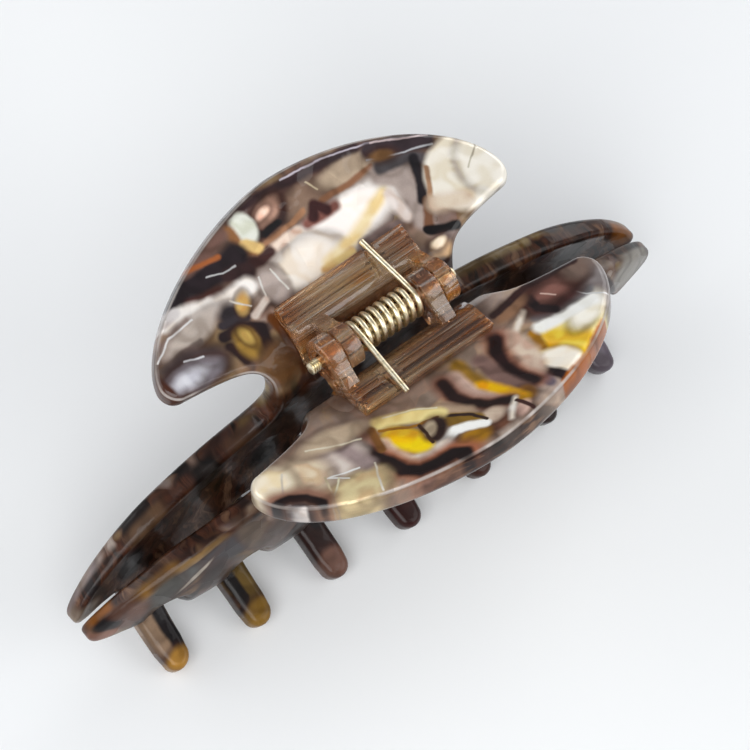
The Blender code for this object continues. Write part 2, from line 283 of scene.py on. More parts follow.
def flat_solid(name, outline, thickness, rim, rim_steps):
    """Flat plate with rounded edges."""
    curve = bpy.data.curves.new(name, "CURVE")
    curve.dimensions = "2D"
    curve.fill_mode = "BOTH"
    curve.extrude = 0.5 * thickness - rim
    curve.bevel_depth = rim
    curve.bevel_resolution = rim_steps
    curve.offset = -rim
    spline = curve.splines.new("POLY")
    spline.points.add(len(outline) - 1)
    for point, (x, s) in zip(spline.points, outline):
        point.co = (x, s, 0.0, 1.0)
    spline.use_cyclic_u = True
    temp = added(name + "_flat", curve)
    mesh = baked(temp)
    bpy.data.objects.remove(temp, do_unlink=True)
    return mesh


def link(name, mesh, mat):
    """Puts a mesh in the scene at the pin."""
    mesh.materials.clear()
    mesh.materials.append(mat)
    obj = added(name, mesh)
    obj.location = AXIS
    return obj


def outward(bm):
    """Turns the faces outwards."""
    bmesh.ops.recalc_face_normals(bm, faces=bm.faces[:])
    if bm.calc_volume(signed=True) < 0.0:
        bmesh.ops.reverse_faces(bm, faces=bm.faces[:])


def sheet_half(name, mat, teeth, power, drop, turned):
    """One bent half; it keeps its flat coordinates in the attribute sheet."""
    outline = half_outline(teeth, turned, power, drop, WING_STEPS, ARC_STEPS)
    mesh = flat_solid(name, outline, SHEET, RIM, RIM_STEPS)
    bm = bmesh.new()
    bm.from_mesh(mesh)
    bmesh.ops.remove_doubles(bm, verts=bm.verts, dist=0.01)
    cuts = [(0, CUT_TOP - CUT_STEP * i) for i in range(CUT_COUNT)]
    cuts += [(x, 0) for x in LENGTH_CUTS]
    for x, s in cuts:
        geom = bm.verts[:] + bm.edges[:] + bm.faces[:]
        normal = (0, 1, 0) if x == 0 and s != 0 else (1, 0, 0)
        bmesh.ops.bisect_plane(bm, geom=geom, dist=1e-4, plane_co=(x, s, 0), plane_no=normal)
    layer = bm.verts.layers.float_vector.new("sheet")
    for vert in bm.verts:
        vert[layer] = vert.co
        vert.co = bend(vert.co.x, vert.co.y, vert.co.z)
        if turned:
            vert.co.x = -vert.co.x
            vert.co.y = -vert.co.y
    outward(bm)
    for face in bm.faces:
        face.smooth = True
    bm.to_mesh(mesh)
    bm.free()
    return link(name, mesh, mat)


# ---------------------------------------------------------------- hinge pieces
LEAF_HALF = 11.2            # half length of a hinge leaf
PIN_R = 0.85                # radius of the pin
PIN_LEFT, PIN_RIGHT = -13.1, 12.5
PIN_SIDES, EYE_SIDES, BORE_SIDES = 56, 48, 32
EYE_R = 3.2                 # radius of the round end of an ear
BORE_R = 1.15               # radius of the ears' bores
EAR_RIGHT = (8.75, 11.1)    # from and to, along the pin
EAR_LEFT = (-8.4, -5.9)
LEG_X = 5.05                # the spring's legs, either side of the middle
WIRE_R = 0.42               # radius of the spring's wire
COIL_R = 2.2                # radius of the coil, to the wire's centre
COIL_TURNS = 8
COIL_STEPS = 28             # points in each turn
LEG_END_Y = 11.0            # where a leg ends, out from the pin
LEG_END_Z = 0.9             # and up from it


def prism(name, outline, x1, x2):
    """A (y, z) outline drawn out along x."""
    bm = bmesh.new()
    ring = [bm.verts.new(Vector((x1, y, z)) * MM) for y, z in outline]
    face = bm.faces.new(ring)
    moved = bmesh.ops.extrude_face_region(bm, geom=[face])
    verts = [v for v in moved["geom"] if isinstance(v, bmesh.types.BMVert)]
    bmesh.ops.translate(bm, verts=verts, vec=Vector(((x2 - x1) * MM, 0, 0)))
    outward(bm)
    mesh = bpy.data.meshes.new(name)
    bm.to_mesh(mesh)
    bm.free()
    return added(name, mesh)


def circle(radius, sides):
    """Points of a circle."""
    return [(radius * math.cos(2 * math.pi * i / sides), radius * math.sin(2 * math.pi * i / sides))
            for i in range(sides)]


def carve(target, tools, operation):
    """Joins or cuts target with the tools and removes them."""
    for tool in tools:
        mod = target.modifiers.new(tool.name, "BOOLEAN")
        mod.operation = operation
        mod.solver = "EXACT"
        mod.object = tool
    mesh = baked(target)
    target.modifiers.clear()
    target.data = mesh
    for tool in tools:
        bpy.data.objects.remove(tool, do_unlink=True)


def rounded(obj, width, segments):
    """Bevels the sharp edges."""
    mod = obj.modifiers.new("edges", "BEVEL")
    mod.width = width * MM
    mod.segments = segments
    mod.limit_method = "ANGLE"
    mod.angle_limit = 0.5
    mod.use_clamp_overlap = True
    mesh = baked(obj)
    obj.modifiers.clear()
    obj.data = mesh


def hinge_leaf(name, mat, turned):
    """Clear moulded block with long ribs, and two ears that hold the pin."""
    block = (
        (10.0, -0.9), (10.0, 0.95), (5.7, 0.05), (4.1, -1.3), (3.3, -2.9),
        (2.95, -4.9), (3.5, -4.35), (4.3, -3.25), (5.4, -2.35), (7.8, -1.4),
    )
    leaf = prism(name, block, -LEAF_HALF, LEAF_HALF)
    arm = ((0.7, 2.85), (6.4, -0.4), (6.6, -1.3), (5.2, -2.0), (4.1, -2.95), (3.4, -3.9), (0.5, -2.85))
    ears = []
    for x1, x2 in (EAR_RIGHT, EAR_LEFT):
        ears.append(prism("eye", circle(EYE_R, EYE_SIDES), x1, x2))
        ears.append(prism("arm", arm, x1 + 0.06, x2 - 0.06))
    carve(leaf, ears, "UNION")
    cuts = [prism("bore", circle(BORE_R, BORE_SIDES), -15.0, 15.0)]
    notch = ((3.4, -0.3), (3.4, 4.0), (12.0, 4.0), (12.0, 0.35))
    cuts.append(prism("notch", notch, LEG_X - 0.9, LEG_X + 0.9))
    for y, z in ((9.0, 0.74), (7.95, 0.52), (6.9, 0.3), (5.85, 0.08)):
        groove = ((y - 0.34, z + 0.4), (y - 0.2, z - 0.42), (y + 0.2, z - 0.36), (y + 0.34, z + 0.5))
        cuts.append(prism("groove", groove, -LEAF_HALF + 0.7, LEG_X - 1.7))
        cuts.append(prism("groove", groove, LEG_X + 1.6, LEAF_HALF - 0.7))
    carve(leaf, cuts, "DIFFERENCE")
    rounded(leaf, 0.12, 2)
    mesh = leaf.data
    bpy.data.objects.remove(leaf, do_unlink=True)
    if turned:
        mesh.transform(Matrix.Rotation(math.pi, 4, "Z"))
    obj = link(name, mesh, mat)
    obj.data.shade_smooth()
    obj.data.set_sharp_from_angle(angle=0.6)
    return obj


def turned_solid(name, mat, rings, sides):
    """Solid of revolution about X."""
    bm = bmesh.new()
    loops = []
    for x, r in rings:
        loop = []
        for i in range(sides):
            f = 2 * math.pi * i / sides
            loop.append(bm.verts.new(Vector((x, r * math.cos(f), r * math.sin(f))) * MM))
        loops.append(loop)
    for a, b in zip(loops[:-1], loops[1:]):
        for i in range(sides):
            j = (i + 1) % sides
            bm.faces.new((a[i], a[j], b[j], b[i]))
    bm.faces.new(loops[0])
    bm.faces.new(loops[-1])
    outward(bm)
    mesh = bpy.data.meshes.new(name)
    bm.to_mesh(mesh)
    bm.free()
    obj = link(name, mesh, mat)
    obj.data.shade_smooth()
    obj.data.set_sharp_from_angle(angle=0.7)
    return obj


def hinge_pin(mat):
    """Pin with a ribbed left end."""
    rings = [(PIN_LEFT, 0.62), (PIN_LEFT + 0.06, 0.8)]
    for i in range(21):
        rings.append((PIN_LEFT + 0.12 + 0.07 * i, 0.9 + 0.11 * math.sin(2 * math.pi * i / 5)))
    rings += [(PIN_LEFT + 1.6, PIN_R), (PIN_RIGHT - 0.3, PIN_R), (PIN_RIGHT - 0.08, 0.72), (PIN_RIGHT, 0.55)]
    return turned_solid("pin_visual", mat, rings, PIN_SIDES)


def spring_points():
    """Centre line: rear leg, tight coil, front leg."""
    count = COIL_TURNS * COIL_STEPS
    leg = [(LEG_X, LEG_END_Y, LEG_END_Z), (LEG_X, 8.0, 1.25), (LEG_X, 5.0, 1.62), (LEG_X, 2.4, 1.98)]
    leg = smooth_path(leg + [(LEG_X, 0.0, COIL_R)], 3)[:-1]
    pts = [Vector(p) for p in leg]
    for i in range(count + 1):
        f = 0.5 * math.pi + 2 * math.pi * i / COIL_STEPS
        x = LEG_X - 2 * LEG_X * i / count
        pts.append(Vector((x, COIL_R * math.cos(f), COIL_R * math.sin(f))))
    pts += [Vector((-p[0], -p[1], p[2])) for p in reversed(leg)]
    return pts


def torsion_spring(mat):
    """The wire swept along its centre line."""
    curve = bpy.data.curves.new("spring_visual", "CURVE")
    curve.dimensions = "3D"
    curve.bevel_depth = WIRE_R * MM
    curve.bevel_resolution = 4
    curve.use_fill_caps = True
    pts = spring_points()
    spline = curve.splines.new("POLY")
    spline.points.add(len(pts) - 1)
    for point, p in zip(spline.points, pts):
        point.co = (*(p * MM), 1.0)
    temp = added("spring_curve", curve)
    mesh = baked(temp)
    bpy.data.objects.remove(temp, do_unlink=True)
    obj = link("spring_visual", mesh, mat)
    obj.data.shade_smooth()
    return obj


# ---------------------------------------------------------------- materials
class Nodes:
    """Short calls that add shader nodes and join them."""

    def __init__(self, name):
        self.mat = bpy.data.materials.new(name)
        self.mat.use_nodes = True
        self.tree = self.mat.node_tree
        self.bsdf = self.tree.nodes["Principled BSDF"]

    def add(self, kind, **props):
        """A new node with these settings."""
        node = self.tree.nodes.new(kind)
        for key, value in props.items():
            setattr(node, key, value)
        return node

    def put(self, socket, value):
        """Joins an output to a socket, or gives the socket a plain value."""
        if isinstance(value, bpy.types.NodeSocket):
            self.tree.links.new(value, socket)
        elif isinstance(value, (tuple, list)) and len(value) == 3 and socket.type == "RGBA":
            socket.default_value = (*value, 1.0)
        else:
            socket.default_value = value

    def math(self, op, a, b=0.0, c=0.0, clamp=False):
        node = self.add("ShaderNodeMath", operation=op, use_clamp=clamp)
        for socket, value in zip(node.inputs, (a, b, c)):
            self.put(socket, value)
        return node.outputs[0]

    def vec(self, op, a, b=(0, 0, 0)):
        node = self.add("ShaderNodeVectorMath", operation=op)
        self.put(node.inputs[0], a)
        if op == "SCALE":
            self.put(node.inputs[3], b)
            return node.outputs[0]
        self.put(node.inputs[1], b)
        return node.outputs["Value"] if op in ("DOT_PRODUCT", "LENGTH") else node.outputs[0]

    def mix(self, factor, a, b, blend="MIX"):
        node = self.add("ShaderNodeMix", data_type="RGBA", blend_type=blend)
        self.put(node.inputs[0], factor)
        self.put(node.inputs[6], a)
        self.put(node.inputs[7], b)
        return node.outputs[2]

    def local(self, vector, x, s, turn, long_half, wide_half):
        """The point seen from a mark's own centre, in its own half sizes."""
        node = self.add("ShaderNodeMapping", vector_type="TEXTURE")
        self.put(node.inputs["Vector"], vector)
        node.inputs["Location"].default_value = (x, s, 0.0)
        node.inputs["Rotation"].default_value = (0.0, 0.0, math.radians(turn))
        node.inputs["Scale"].default_value = (long_half, wide_half, 1.0)
        return node.outputs[0]

    def noise(self, vector, scale, detail=3.0, rough=0.5, distortion=0.0, color=False):
        node = self.add("ShaderNodeTexNoise")
        self.put(node.inputs["Vector"], vector)
        self.put(node.inputs["Scale"], scale)
        self.put(node.inputs["Detail"], detail)
        self.put(node.inputs["Roughness"], rough)
        self.put(node.inputs["Distortion"], distortion)
        return node.outputs["Color"] if color else node.outputs["Fac"]

    def voronoi(self, vector, scale, feature="F1"):
        node = self.add("ShaderNodeTexVoronoi", feature=feature)
        self.put(node.inputs["Vector"], vector)
        self.put(node.inputs["Scale"], scale)
        return node

    def step(self, value, low, high):
        """0 below low, 1 above high, smooth between (low may exceed high)."""
        node = self.add("ShaderNodeMapRange", interpolation_type="SMOOTHSTEP")
        self.put(node.inputs[0], value)
        if low <= high:
            node.inputs[1].default_value = low
            node.inputs[2].default_value = high
        else:
            node.inputs[1].default_value = high
            node.inputs[2].default_value = low
            node.inputs[3].default_value = 1.0
            node.inputs[4].default_value = 0.0
        return node.outputs[0]

    def ramp(self, value, stops):
        """Colours read off at a value, blended between stops (place, colour)."""
        node = self.add("ShaderNodeValToRGB")
        ramp = node.color_ramp
        ramp.interpolation = "LINEAR"
        while len(ramp.elements) < len(stops):
            ramp.elements.new(0.5)
        for element, (pos, color) in zip(ramp.elements, stops):
            element.position = pos
            element.color = (*color, 1.0)
        self.put(node.inputs[0], value)
        return node.outputs[0]

    def bump(self, height, strength, distance):
        node = self.add("ShaderNodeBump")
        self.put(node.inputs["Strength"], strength)
        self.put(node.inputs["Distance"], distance)
        self.put(node.inputs["Height"], height)
        return node.outputs[0]


def srgb(r, g, b):
    """Linear colour from 0-255 display values."""
    out = []
    for v in (r, g, b):
        v /= 255.0
        out.append(v / 12.92 if v <= 0.04045 else ((v + 0.055) / 1.055) ** 2.4)
    return tuple(out)


UMBER = srgb(38, 24, 22)
BROWN = srgb(70, 44, 36)

# Marks in the sheet, in sheet millimetres, laid one over the other; those noted below as painted are painted
# light and shade.
# A patch is (x, s, half length, half width, turn in degrees, colour, softness);
# a vein is (points along it, half width, colour, softness).
REAR_WING = (
    (3.6, 14.3, 12.4, 3.8, 6, (246, 240, 234), 0.7),
    (-2.6, 12.6, 5.2, 3.2, 0, (238, 229, 218), 0.7),
    (((0.0, 10.8), (6.0, 12.2), (13.0, 15.2)), 0.9, (232, 214, 174), 1.5),
    (((-1.0, 10.4), (4.0, 10.5)), 0.6, (214, 186, 136), 1.3),
    # painted grey shadow of the hinge leaf
    (((6.0, 10.4), (12.0, 10.2)), 0.7, (124, 108, 104), 1.2),
    (-8.4, 12.8, 1.9, 2.8, 0, (178, 166, 160), 0.8),
    # painted highlights on creases of the polish, this mark and the next
    (((-7.4, 14.8), (-7.0, 11.0)), 0.13, (214, 211, 205), 2.0),
    (((-10.3, 11.8), (-9.5, 14.8)), 0.13, (209, 205, 200), 2.0),
    (((-6.0, 23.4), (6.0, 22.9), (14.0, 21.6)), 1.6, (96, 76, 72), 1.0),
    (3.0, 20.5, 4.6, 2.3, 4, (132, 112, 98), 0.6),
    (10.2, 20.6, 5.0, 1.9, -5, (168, 152, 134), 0.6),
    (((4.6, 19.0), (9.0, 18.8), (13.6, 19.2)), 0.42, (132, 98, 76), 1.3),
    # painted highlight
    (((4.0, 22.4), (4.9, 20.6)), 0.13, (191, 178, 154), 2.0),
    (((1.0, 17.3), (5.8, 17.3)), 0.85, (132, 92, 84), 1.3),
    (((2.2, 17.7), (3.4, 19.0), (4.4, 17.6)), 0.8, (66, 40, 40), 1.0),
    (((-4.8, 17.1), (-0.8, 17.3)), 0.7, (214, 194, 180), 1.2),
    (((-5.8, 18.4), (-1.0, 18.6), (1.4, 19.2)), 0.42, (160, 124, 98), 1.3),
    (((-6.0, 24.5), (0.0, 24.1), (8.0, 23.5), (13.0, 22.8)), 0.7, (60, 44, 46), 1.1),
    # painted highlight along the rim
    (((1.0, 24.7), (8.0, 24.0), (15.0, 22.3), (23.0, 18.7)), 0.13, (185, 179, 187), 2.0),
    (-3.3, 21.3, 3.6, 2.3, 22, (56, 34, 30), 0.4),
    (-3.3, 21.9, 2.5, 1.35, 22, (178, 146, 130), 0.9),
    (-3.8, 22.0, 1.2, 0.6, 22, (232, 200, 182), 1.2),
    (((-6.4, 20.2), (-5.2, 19.4), (-2.6, 19.8)), 0.48, (22, 17, 20), 0.9),
    (-7.3, 21.7, 1.9, 2.5, 6, (210, 212, 202), 0.4),
    (((-9.4, 22.6), (-9.1, 19.4), (-7.6, 17.9)), 0.75, (132, 96, 66), 1.2),
    (((-8.4, 19.7), (-7.1, 18.3)), 0.85, (200, 172, 122), 0.9),
    (((-10.2, 17.4), (-8.0, 16.6), (-6.0, 17.0)), 0.8, (68, 44, 42), 1.0),
    (((-23.0, 18.4), (-18.0, 18.7), (-13.0, 18.6), (-10.6, 19.0)), 1.9, (44, 35, 39), 0.7),
    (((-20.0, 16.9), (-15.5, 16.1)), 0.8, (78, 48, 42), 1.4),
    (((-12.8, 17.4), (-10.2, 16.4)), 1.1, (58, 41, 41), 0.9),
    # painted glint
    (((-15.8, 18.9), (-13.4, 18.0), (-11.4, 17.9)), 0.13, (174, 174, 174), 2.0),
    (((-18.5, 21.3), (-14.0, 21.6), (-10.6, 22.6)), 0.9, (112, 88, 80), 1.3),
    (((-18.0, 21.2), (-12.8, 20.3)), 0.36, (150, 96, 62), 1.5),
    (((-20.0, 21.2), (-12.0, 24.0), (-4.0, 25.0)), 0.4, (70, 56, 54), 1.0),
    (((-19.6, 14.9), (-15.0, 14.3), (-11.6, 14.6)), 1.4, (242, 236, 230), 1.0),
    (((-25.0, 16.2), (-21.5, 16.6), (-18.0, 15.4)), 0.9, (226, 220, 214), 1.3),
    (((-26.0, 16.6), (-22.6, 17.0)), 0.8, (200, 194, 192), 1.0),
    (-22.4, 13.2, 5.2, 1.7, 8, (176, 166, 158), 0.8),
    # painted highlight
    (((-28.6, 12.6), (-25.6, 14.5), (-21.0, 15.0)), 0.13, (205, 203, 202), 2.0),
    (((-28.8, 11.2), (-22.0, 11.8)), 0.5, (118, 108, 102), 1.2),
    (-25.1, 8.8, 5.6, 2.8, -4, (74, 62, 62), 0.5),
    (-25.4, 8.3, 4.0, 1.7, -6, (152, 150, 158), 0.7),
    (-26.4, 8.2, 2.6, 1.0, 0, (206, 206, 212), 1.4),
    # painted highlight
    (((-25.6, 10.5), (-22.8, 9.7)), 0.13, (197, 197, 200), 2.0),
    (((-30.3, 10.6), (-29.7, 7.4)), 0.7, (72, 42, 30), 1.0),
    (-15.9, 12.4, 1.7, 1.6, 0, (56, 50, 54), 0.7),
    (((-17.9, 11.8), (-14.4, 11.0)), 0.7, (58, 52, 56), 1.0),
    (((-18.8, 10.4), (-16.0, 10.3), (-13.5, 8.6), (-14.2, 6.2)), 0.85, (42, 31, 33), 0.9),
    (((-19.0, 8.8), (-18.3, 6.4)), 0.75, (46, 32, 32), 1.0),
    (-16.5, 8.0, 1.8, 2.3, 0, (152, 124, 68), 0.6),
    # the lighter core of the olive patch is a painted highlight
    (-16.2, 8.7, 0.8, 1.3, 10, (196, 170, 106), 1.0),
    (-13.6, 12.9, 0.95, 1.6, -35, (208, 176, 116), 1.0),
    # painted highlight
    (((-14.9, 14.2), (-12.8, 12.0)), 0.13, (209, 203, 195), 2.0),
    (((-13.2, 10.5), (-10.6, 11.4)), 0.55, (206, 192, 182), 1.0),
    (((14.0, 17.4), (16.0, 15.6), (16.6, 12.0), (15.4, 8.6)), 1.6, (164, 152, 146), 0.9),
    (((13.5, 14.4), (13.6, 10.4)), 0.9, (220, 210, 204), 1.1),
    (((14.6, 18.3), (18.6, 17.5), (20.8, 16.0)), 0.9, (82, 78, 80), 1.0),
    (((19.6, 16.6), (18.3, 13.0), (17.0, 10.8)), 0.8, (38, 34, 38), 0.9),
    (((17.5, 10.4), (15.4, 7.4)), 0.7, (112, 82, 64), 1.0),
    (((14.6, 21.2), (18.0, 20.0), (22.6, 17.9)), 1.3, (62, 52, 56), 0.9),
    # painted highlights, this mark and the next
    (((13.6, 20.2), (18.0, 18.6), (23.2, 17.1)), 0.13, (171, 172, 175), 2.0),
    (((15.4, 22.1), (23.4, 18.5)), 0.13, (189, 175, 175), 2.0),
    (15.8, 19.7, 1.7, 0.8, -20, (114, 86, 58), 1.0),
    (25.0, 11.4, 6.6, 5.6, 14, (228, 222, 209), 0.2),
    (28.2, 10.6, 4.0, 4.8, 0, (226, 221, 210), 0.5),
    (((20.4, 14.6), (17.5, 9.4)), 0.4, (156, 126, 102), 1.2),
    (((18.2, 9.4), (22.4, 7.8)), 1.3, (210, 194, 176), 1.2),
    # painted highlight
    (((25.6, 11.2), (29.4, 14.0)), 0.13, (177, 171, 156), 2.0),
    (((14.8, 7.0), (17.0, 6.2), (19.0, 5.5)), 0.6, (20, 15, 17), 0.8),
    (14.8, 4.4, 1.8, 1.1, 0, (192, 162, 126), 0.7),
    (15.0, 5.3, 1.2, 0.5, 0, (228, 212, 188), 0.9),
    (((13.4, 3.2), (16.6, 2.2)), 0.8, (58, 35, 29), 0.9),
    # painted amber shadow of the clear hinge leaf, this mark and the next
    (((-11.6, 9.0), (-11.2, 2.0)), 0.7, (98, 62, 35), 1.0),
    (-14.0, 4.0, 2.4, 2.2, 0, (110, 82, 56), 0.7),
    (0.0, 4.6, 11.5, 4.4, 0, (84, 60, 46), 0.4),
)
FRONT_WING = (
    (-27.0, 13.0, 4.4, 4.6, 0, (140, 134, 134), 0.8),
    (-19.3, 17.2, 6.4, 4.5, 26, (240, 226, 172), 0.45),
    (((-19.8, 20.2), (-16.6, 15.4)), 1.7, (228, 200, 88), 1.4),
    (((-17.4, 21.6), (-15.7, 18.8), (-14.4, 16.6)), 1.2, (234, 194, 60), 1.4),
    (-23.4, 15.2, 3.6, 1.9, 24, (240, 236, 224), 0.9),
    (((-14.2, 16.2), (-14.9, 13.4)), 0.75, (156, 116, 48), 1.0),
    (((-25.0, 14.2), (-21.0, 13.7), (-16.4, 13.2)), 1.15, (238, 238, 234), 1.0),
    (((-26.0, 12.5), (-21.0, 12.3), (-17.2, 11.4)), 0.8, (118, 116, 118), 1.2),
    # painted highlight
    (((-27.4, 14.8), (-25.2, 12.8), (-24.4, 11.2)), 0.13, (197, 197, 197), 2.0),
    (-21.7, 9.4, 5.2, 3.0, 0, (70, 44, 42), 0.5),
    # the lighter core of the brown oval is a painted highlight
    (-21.9, 9.0, 3.2, 1.4, 0, (126, 92, 84), 1.5),
    (((-20.2, 12.0), (-18.5, 10.2), (-18.9, 8.0)), 0.7, (40, 28, 30), 1.0),
    # painted highlight
    (((-21.9, 10.0), (-20.6, 8.4)), 0.13, (193, 169, 159), 2.0),
    (-27.0, 8.4, 2.0, 1.8, 0, (112, 96, 88), 1.0),
    # painted highlight
    (((-16.6, 9.2), (-13.0, 11.6)), 0.45, (218, 208, 195), 2.0),
    (-14.3, 20.2, 2.6, 3.2, 30, (242, 234, 220), 0.5),
    (((-12.8, 23.6), (-12.0, 21.4), (-11.2, 19.9)), 1.0, (38, 25, 27), 0.9),
    (((-10.4, 22.8), (-10.5, 20.6)), 0.8, (104, 94, 102), 1.0),
    (((-10.8, 18.9), (-12.3, 15.6), (-12.1, 11.8)), 1.6, (208, 188, 172), 0.9),
    (((-9.4, 20.4), (-8.6, 18.0), (-8.5, 15.0), (-9.4, 12.2), (-10.8, 10.4)), 1.8, (140, 98, 82), 1.4),
    (((-9.2, 20.4), (-8.4, 18.0), (-8.3, 15.0), (-9.2, 12.2), (-10.6, 10.4)), 1.15, (42, 23, 23), 1.1),
    (((-7.0, 20.5), (-6.4, 16.0), (-6.6, 12.0)), 1.3, (118, 96, 90), 1.0),
    (-7.0, 21.8, 1.3, 1.6, 0, (124, 88, 42), 0.8),
    (((-4.0, 16.4), (-3.5, 13.0), (-3.6, 10.6)), 1.2, (142, 112, 52), 1.0),
    (((-6.0, 22.2), (-5.1, 19.0), (-3.8, 15.8)), 1.0, (226, 178, 46), 1.3),
    (((-3.4, 19.8), (-1.9, 16.0), (-1.9, 12.0)), 1.25, (190, 166, 154), 1.0),
    (((-4.4, 20.9), (-2.2, 19.5), (-0.5, 17.2), (0.2, 14.6), (-0.2, 11.6)), 1.6, (124, 88, 74), 1.4),
    (((-4.4, 20.8), (-2.2, 19.4), (-0.5, 17.2), (0.2, 14.6), (-0.2, 11.6)), 0.95, (44, 27, 25), 1.1),
    (-4.4, 23.7, 1.8, 1.0, 20, (206, 178, 166), 0.8),
    (-0.6, 23.6, 2.7, 1.3, 0, (112, 78, 62), 0.7),
    (-1.0, 21.5, 1.9, 1.4, 0, (196, 178, 162), 0.8),
    # painted highlight
    (((-5.2, 21.2), (-3.6, 22.6), (-2.2, 24.2)), 0.42, (229, 223, 214), 2.0),
    (((-5.7, 24.6), (-5.0, 21.8)), 0.35, (66, 42, 38), 0.9),
    (3.3, 23.0, 2.4, 1.7, -15, (156, 118, 42), 0.8),
    (((1.0, 18.4), (2.6, 15.4)), 1.3, (172, 152, 132), 1.0),
    (((0.9, 20.2), (3.2, 17.8)), 1.25, (128, 102, 48), 0.6),
    (((0.8, 21.9), (2.4, 20.5), (4.2, 19.7), (7.2, 20.7), (9.6, 20.9)), 0.85, (246, 246, 242), 0.8),
    (9.4, 20.7, 3.4, 1.6, -4, (246, 240, 230), 0.7),
    (((0.0, 21.4), (0.6, 19.2), (3.8, 16.2)), 0.28, (58, 42, 34), 0.9),
    (((3.6, 15.6), (6.4, 13.3), (10.6, 11.0)), 1.15, (228, 210, 152), 0.9),
    # painted highlight
    (((3.2, 14.4), (6.0, 12.2), (9.6, 10.6)), 0.13, (216, 209, 185), 2.0),
    (9.8, 16.2, 2.2, 3.8, 24, (216, 180, 70), 0.45),
    (((8.9, 18.8), (11.1, 15.2)), 1.15, (242, 210, 58), 1.3),
    (((4.2, 15.9), (8.0, 14.6), (11.4, 12.0)), 0.25, (140, 102, 46), 0.9),
    (5.8, 17.4, 2.3, 1.6, 42, (48, 32, 28), 0.4),
    (6.3, 16.9, 1.5, 0.95, 50, (172, 158, 138), 0.8),
    (((7.7, 19.2), (6.9, 15.2)), 0.28, (62, 42, 30), 0.9),
    (((11.9, 19.8), (12.9, 17.0), (12.5, 14.4)), 1.1, (238, 220, 200), 1.0),
    (((5.6, 24.3), (7.0, 22.9), (9.6, 22.6), (12.0, 21.9), (13.3, 20.2), (13.8, 17.6),
      (14.5, 14.4), (15.0, 11.0)), 2.1, (146, 98, 76), 1.3),
    (((6.2, 24.5), (7.2, 23.4), (9.6, 23.1), (12.2, 22.3), (13.7, 20.4), (14.2, 17.6),
      (14.9, 14.4), (15.3, 11.0)), 1.2, (36, 23, 23), 0.9),
    (((13.2, 15.0), (12.2, 11.2)), 0.6, (124, 88, 50), 1.0),
    (20.2, 17.8, 5.0, 3.2, -12, (204, 188, 152), 0.6),
    (19.4, 12.2, 4.8, 2.8, 0, (206, 194, 186), 0.8),
    (((16.2, 15.6), (16.9, 11.0)), 1.2, (148, 134, 132), 1.4),
    (25.2, 11.4, 4.6, 3.8, 0, (216, 200, 176), 0.8),
    (28.0, 9.4, 2.8, 3.0, 0, (238, 226, 202), 0.9),
    # painted highlights and glints, this mark and the next five
    (((15.4, 16.2), (17.8, 21.0)), 0.13, (207, 202, 191), 2.0),
    (((17.4, 15.2), (19.4, 14.6), (21.6, 13.7)), 0.13, (218, 218, 216), 2.0),
    (((19.6, 15.8), (21.4, 13.9)), 0.13, (218, 218, 216), 2.0),
    (((20.6, 14.8), (24.4, 18.2)), 0.13, (202, 197, 174), 2.0),
    (((21.8, 13.2), (23.8, 18.6)), 0.13, (187, 177, 153), 2.0),
    (((25.8, 8.8), (28.3, 12.4)), 0.13, (207, 200, 189), 2.0),
    (((24.4, 16.6), (25.6, 13.9), (29.4, 11.9)), 1.7, (132, 102, 88), 1.3),
    (((24.8, 16.8), (25.9, 14.3), (27.6, 12.9), (29.8, 12.2)), 0.7, (38, 25, 25), 0.9),
    (28.0, 15.0, 1.9, 1.2, -38, (74, 62, 62), 0.8),
    # painted glint
    (((27.2, 15.6), (29.2, 13.9)), 0.35, (232, 226, 222), 1.8),
    (17.0, 8.7, 5.0, 1.6, -12, (180, 164, 144), 0.8),
    # painted highlight
    (((14.0, 11.4), (18.6, 9.2), (21.0, 7.8)), 0.13, (205, 197, 179), 2.0),
    (-15.2, 7.8, 3.2, 1.2, 6, (132, 104, 84), 0.9),
    (((-28.0, 6.9), (-20.0, 6.3), (-13.0, 7.0)), 0.5, (58, 38, 36), 1.0),
    (((-23.6, 18.6), (-18.0, 21.9), (-12.0, 24.0)), 0.6, (164, 98, 34), 1.0),
    (0.0, 5.0, 12.0, 3.6, 0, (96, 70, 52), 0.5),
)
# marks on the jaws' inside faces: the near-black patches are painted shade of the hollow between the jaws,
# the paler ones the sheet's own colours
SHADED_INNER_JAW_MARKS = (
    (-41, -17.5, 2.6, 3.6, 0, (30, 27, 30), 0.5), (-27, -10.5, 3.0, 3.6, 10, (16, 11, 12), 0.5),
    (-16, -18, 2.6, 3.4, 0, (22, 15, 15), 0.6), (-48, -15.5, 1.0, 4.0, 30, (30, 26, 28), 0.6),
    (-50, -19, 2.6, 1.8, 0, (128, 116, 104), 0.6), (-38, -10.5, 3.6, 1.2, 20, (92, 72, 56), 0.7),
    (40, -14, 2.4, 3.2, 0, (30, 27, 28), 0.6), (27, -11, 1.4, 4.0, 10, (40, 25, 21), 0.6),
    (49.5, -16.5, 2.2, 3.0, 0, (128, 84, 38), 0.6), (33, -15, 3.0, 2.2, 0, (68, 52, 44), 0.7),
    (20, -12, 2.0, 3.6, 0, (82, 62, 50), 0.7), (-20, -8, 3.6, 1.6, -10, (74, 54, 42), 0.7),
    (-11, -8, 1.0, 8.0, 4, (76, 44, 22), 0.6),
)
